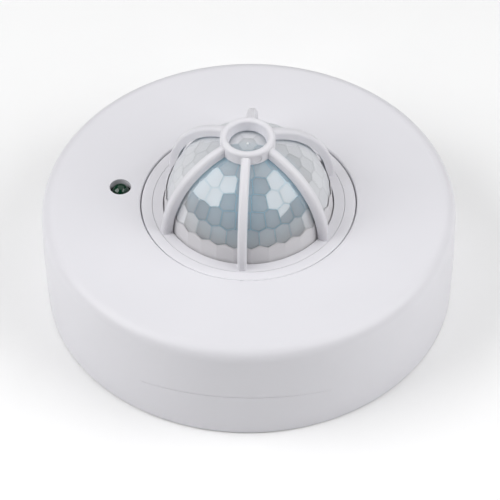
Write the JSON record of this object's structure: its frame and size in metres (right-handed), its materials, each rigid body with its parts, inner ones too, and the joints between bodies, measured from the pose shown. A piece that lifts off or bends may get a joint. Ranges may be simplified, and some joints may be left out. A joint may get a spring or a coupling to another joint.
{
  "type": "motion sensor",
  "caption": "Round ceiling motion sensor: shallow white cover, milky faceted lens dome under a ribbed guard cage, status light, twist-off head on a screw-down base.",
  "frame": {"origin": "centre of the mounting face, where the base meets the ceiling", "axes": "+Z out of the mounting face towards the lens dome; a guard rib points along -Y; the status light lies near -X"},
  "size_m": [0.1151, 0.115, 0.0581],
  "materials": {
    "white_plastic": "satin cool white ABS",
    "grey_plastic": "matt light grey polycarbonate",
    "lens_plastic": "translucent milky polyethylene",
    "black_plastic": "matt black moulded plastic",
    "teal_plastic": "matt teal tinted polyethylene",
    "green_plastic": "glossy green terminal plastic",
    "rubber": "matt black rubber",
    "led_green": "glossy dark green tinted epoxy",
    "board": "green solder mask",
    "steel": "zinc plated steel",
    "brass": "plain brass",
    "can_metal": "nickel plated can",
    "relay_case": "blue relay case",
    "film_case": "yellow film capacitor case",
    "ceramic": "blue epoxy coating",
    "paper": "blank silver-grey label",
    "sensor_window": "dark sensor glass"
  },
  "bodies": {
    "base": {"base_plate": "white_plastic", "cable_grommet": "rubber"},
    "turret": {"bezel_ring": "white_plastic", "guard_cage": "white_plastic", "fresnel_lens": "lens_plastic", "lens_clamp_ring": "grey_plastic"},
    "sensitivity_dial": {"sensitivity_knob": "grey_plastic"},
    "time_dial": {"time_knob": "grey_plastic"},
    "lux_dial": {"lux_knob": "grey_plastic"},
    "head": {"cover_shell": "white_plastic", "rear_tray": "white_plastic", "tray_screws": "steel", "rating_label": "paper", "turret_retainer": "white_plastic", "retainer_screws": "steel", "main_board": "board", "board_screws": "steel", "relay": "relay_case", "film_capacitor": "film_case", "electrolytic_capacitor": "black_plastic", "varistor": "ceramic", "fuse": "black_plastic", "bridge_rectifier": "black_plastic", "control_chip": "black_plastic", "transistors": "black_plastic", "chip_resistors": "black_plastic", "terminal_block": "green_plastic", "terminal_clamps": "brass", "terminal_screws": "steel", "trimmers": "black_plastic", "status_led": "led_green", "led_spacer": "black_plastic", "board_spacers": "black_plastic", "board_header": "black_plastic", "sensor_board": "board", "sensor_tower": "black_plastic", "sensor_hood": "teal_plastic", "pyro_sensors": "can_metal", "light_sensor": "sensor_window"}
  },
  "joints": [
    {"name": "head_twist", "type": "hinge", "parent": "base", "child": "head", "pos_m": [0, 0, 0], "axis": [0, 0, 1], "range_deg": [0, 22]},
    {"name": "turret_turn", "type": "hinge", "parent": "head", "child": "turret", "pos_m": [0, 0, 0.032], "axis": [0, 0, 1], "range_deg": [-30, 30]},
    {"name": "sensitivity_turn", "type": "hinge", "parent": "head", "child": "sensitivity_dial", "pos_m": [0.02068, 0.01735, 0.0089], "axis": [0, 0, -1], "range_deg": [-135, 135]},
    {"name": "time_turn", "type": "hinge", "parent": "head", "child": "time_dial", "pos_m": [0.00924, 0.02537, 0.0089], "axis": [0, 0, -1], "range_deg": [-135, 135]},
    {"name": "lux_turn", "type": "hinge", "parent": "head", "child": "lux_dial", "pos_m": [-0.00469, 0.02659, 0.0089], "axis": [0, 0, -1], "range_deg": [-135, 135]}
  ]
}
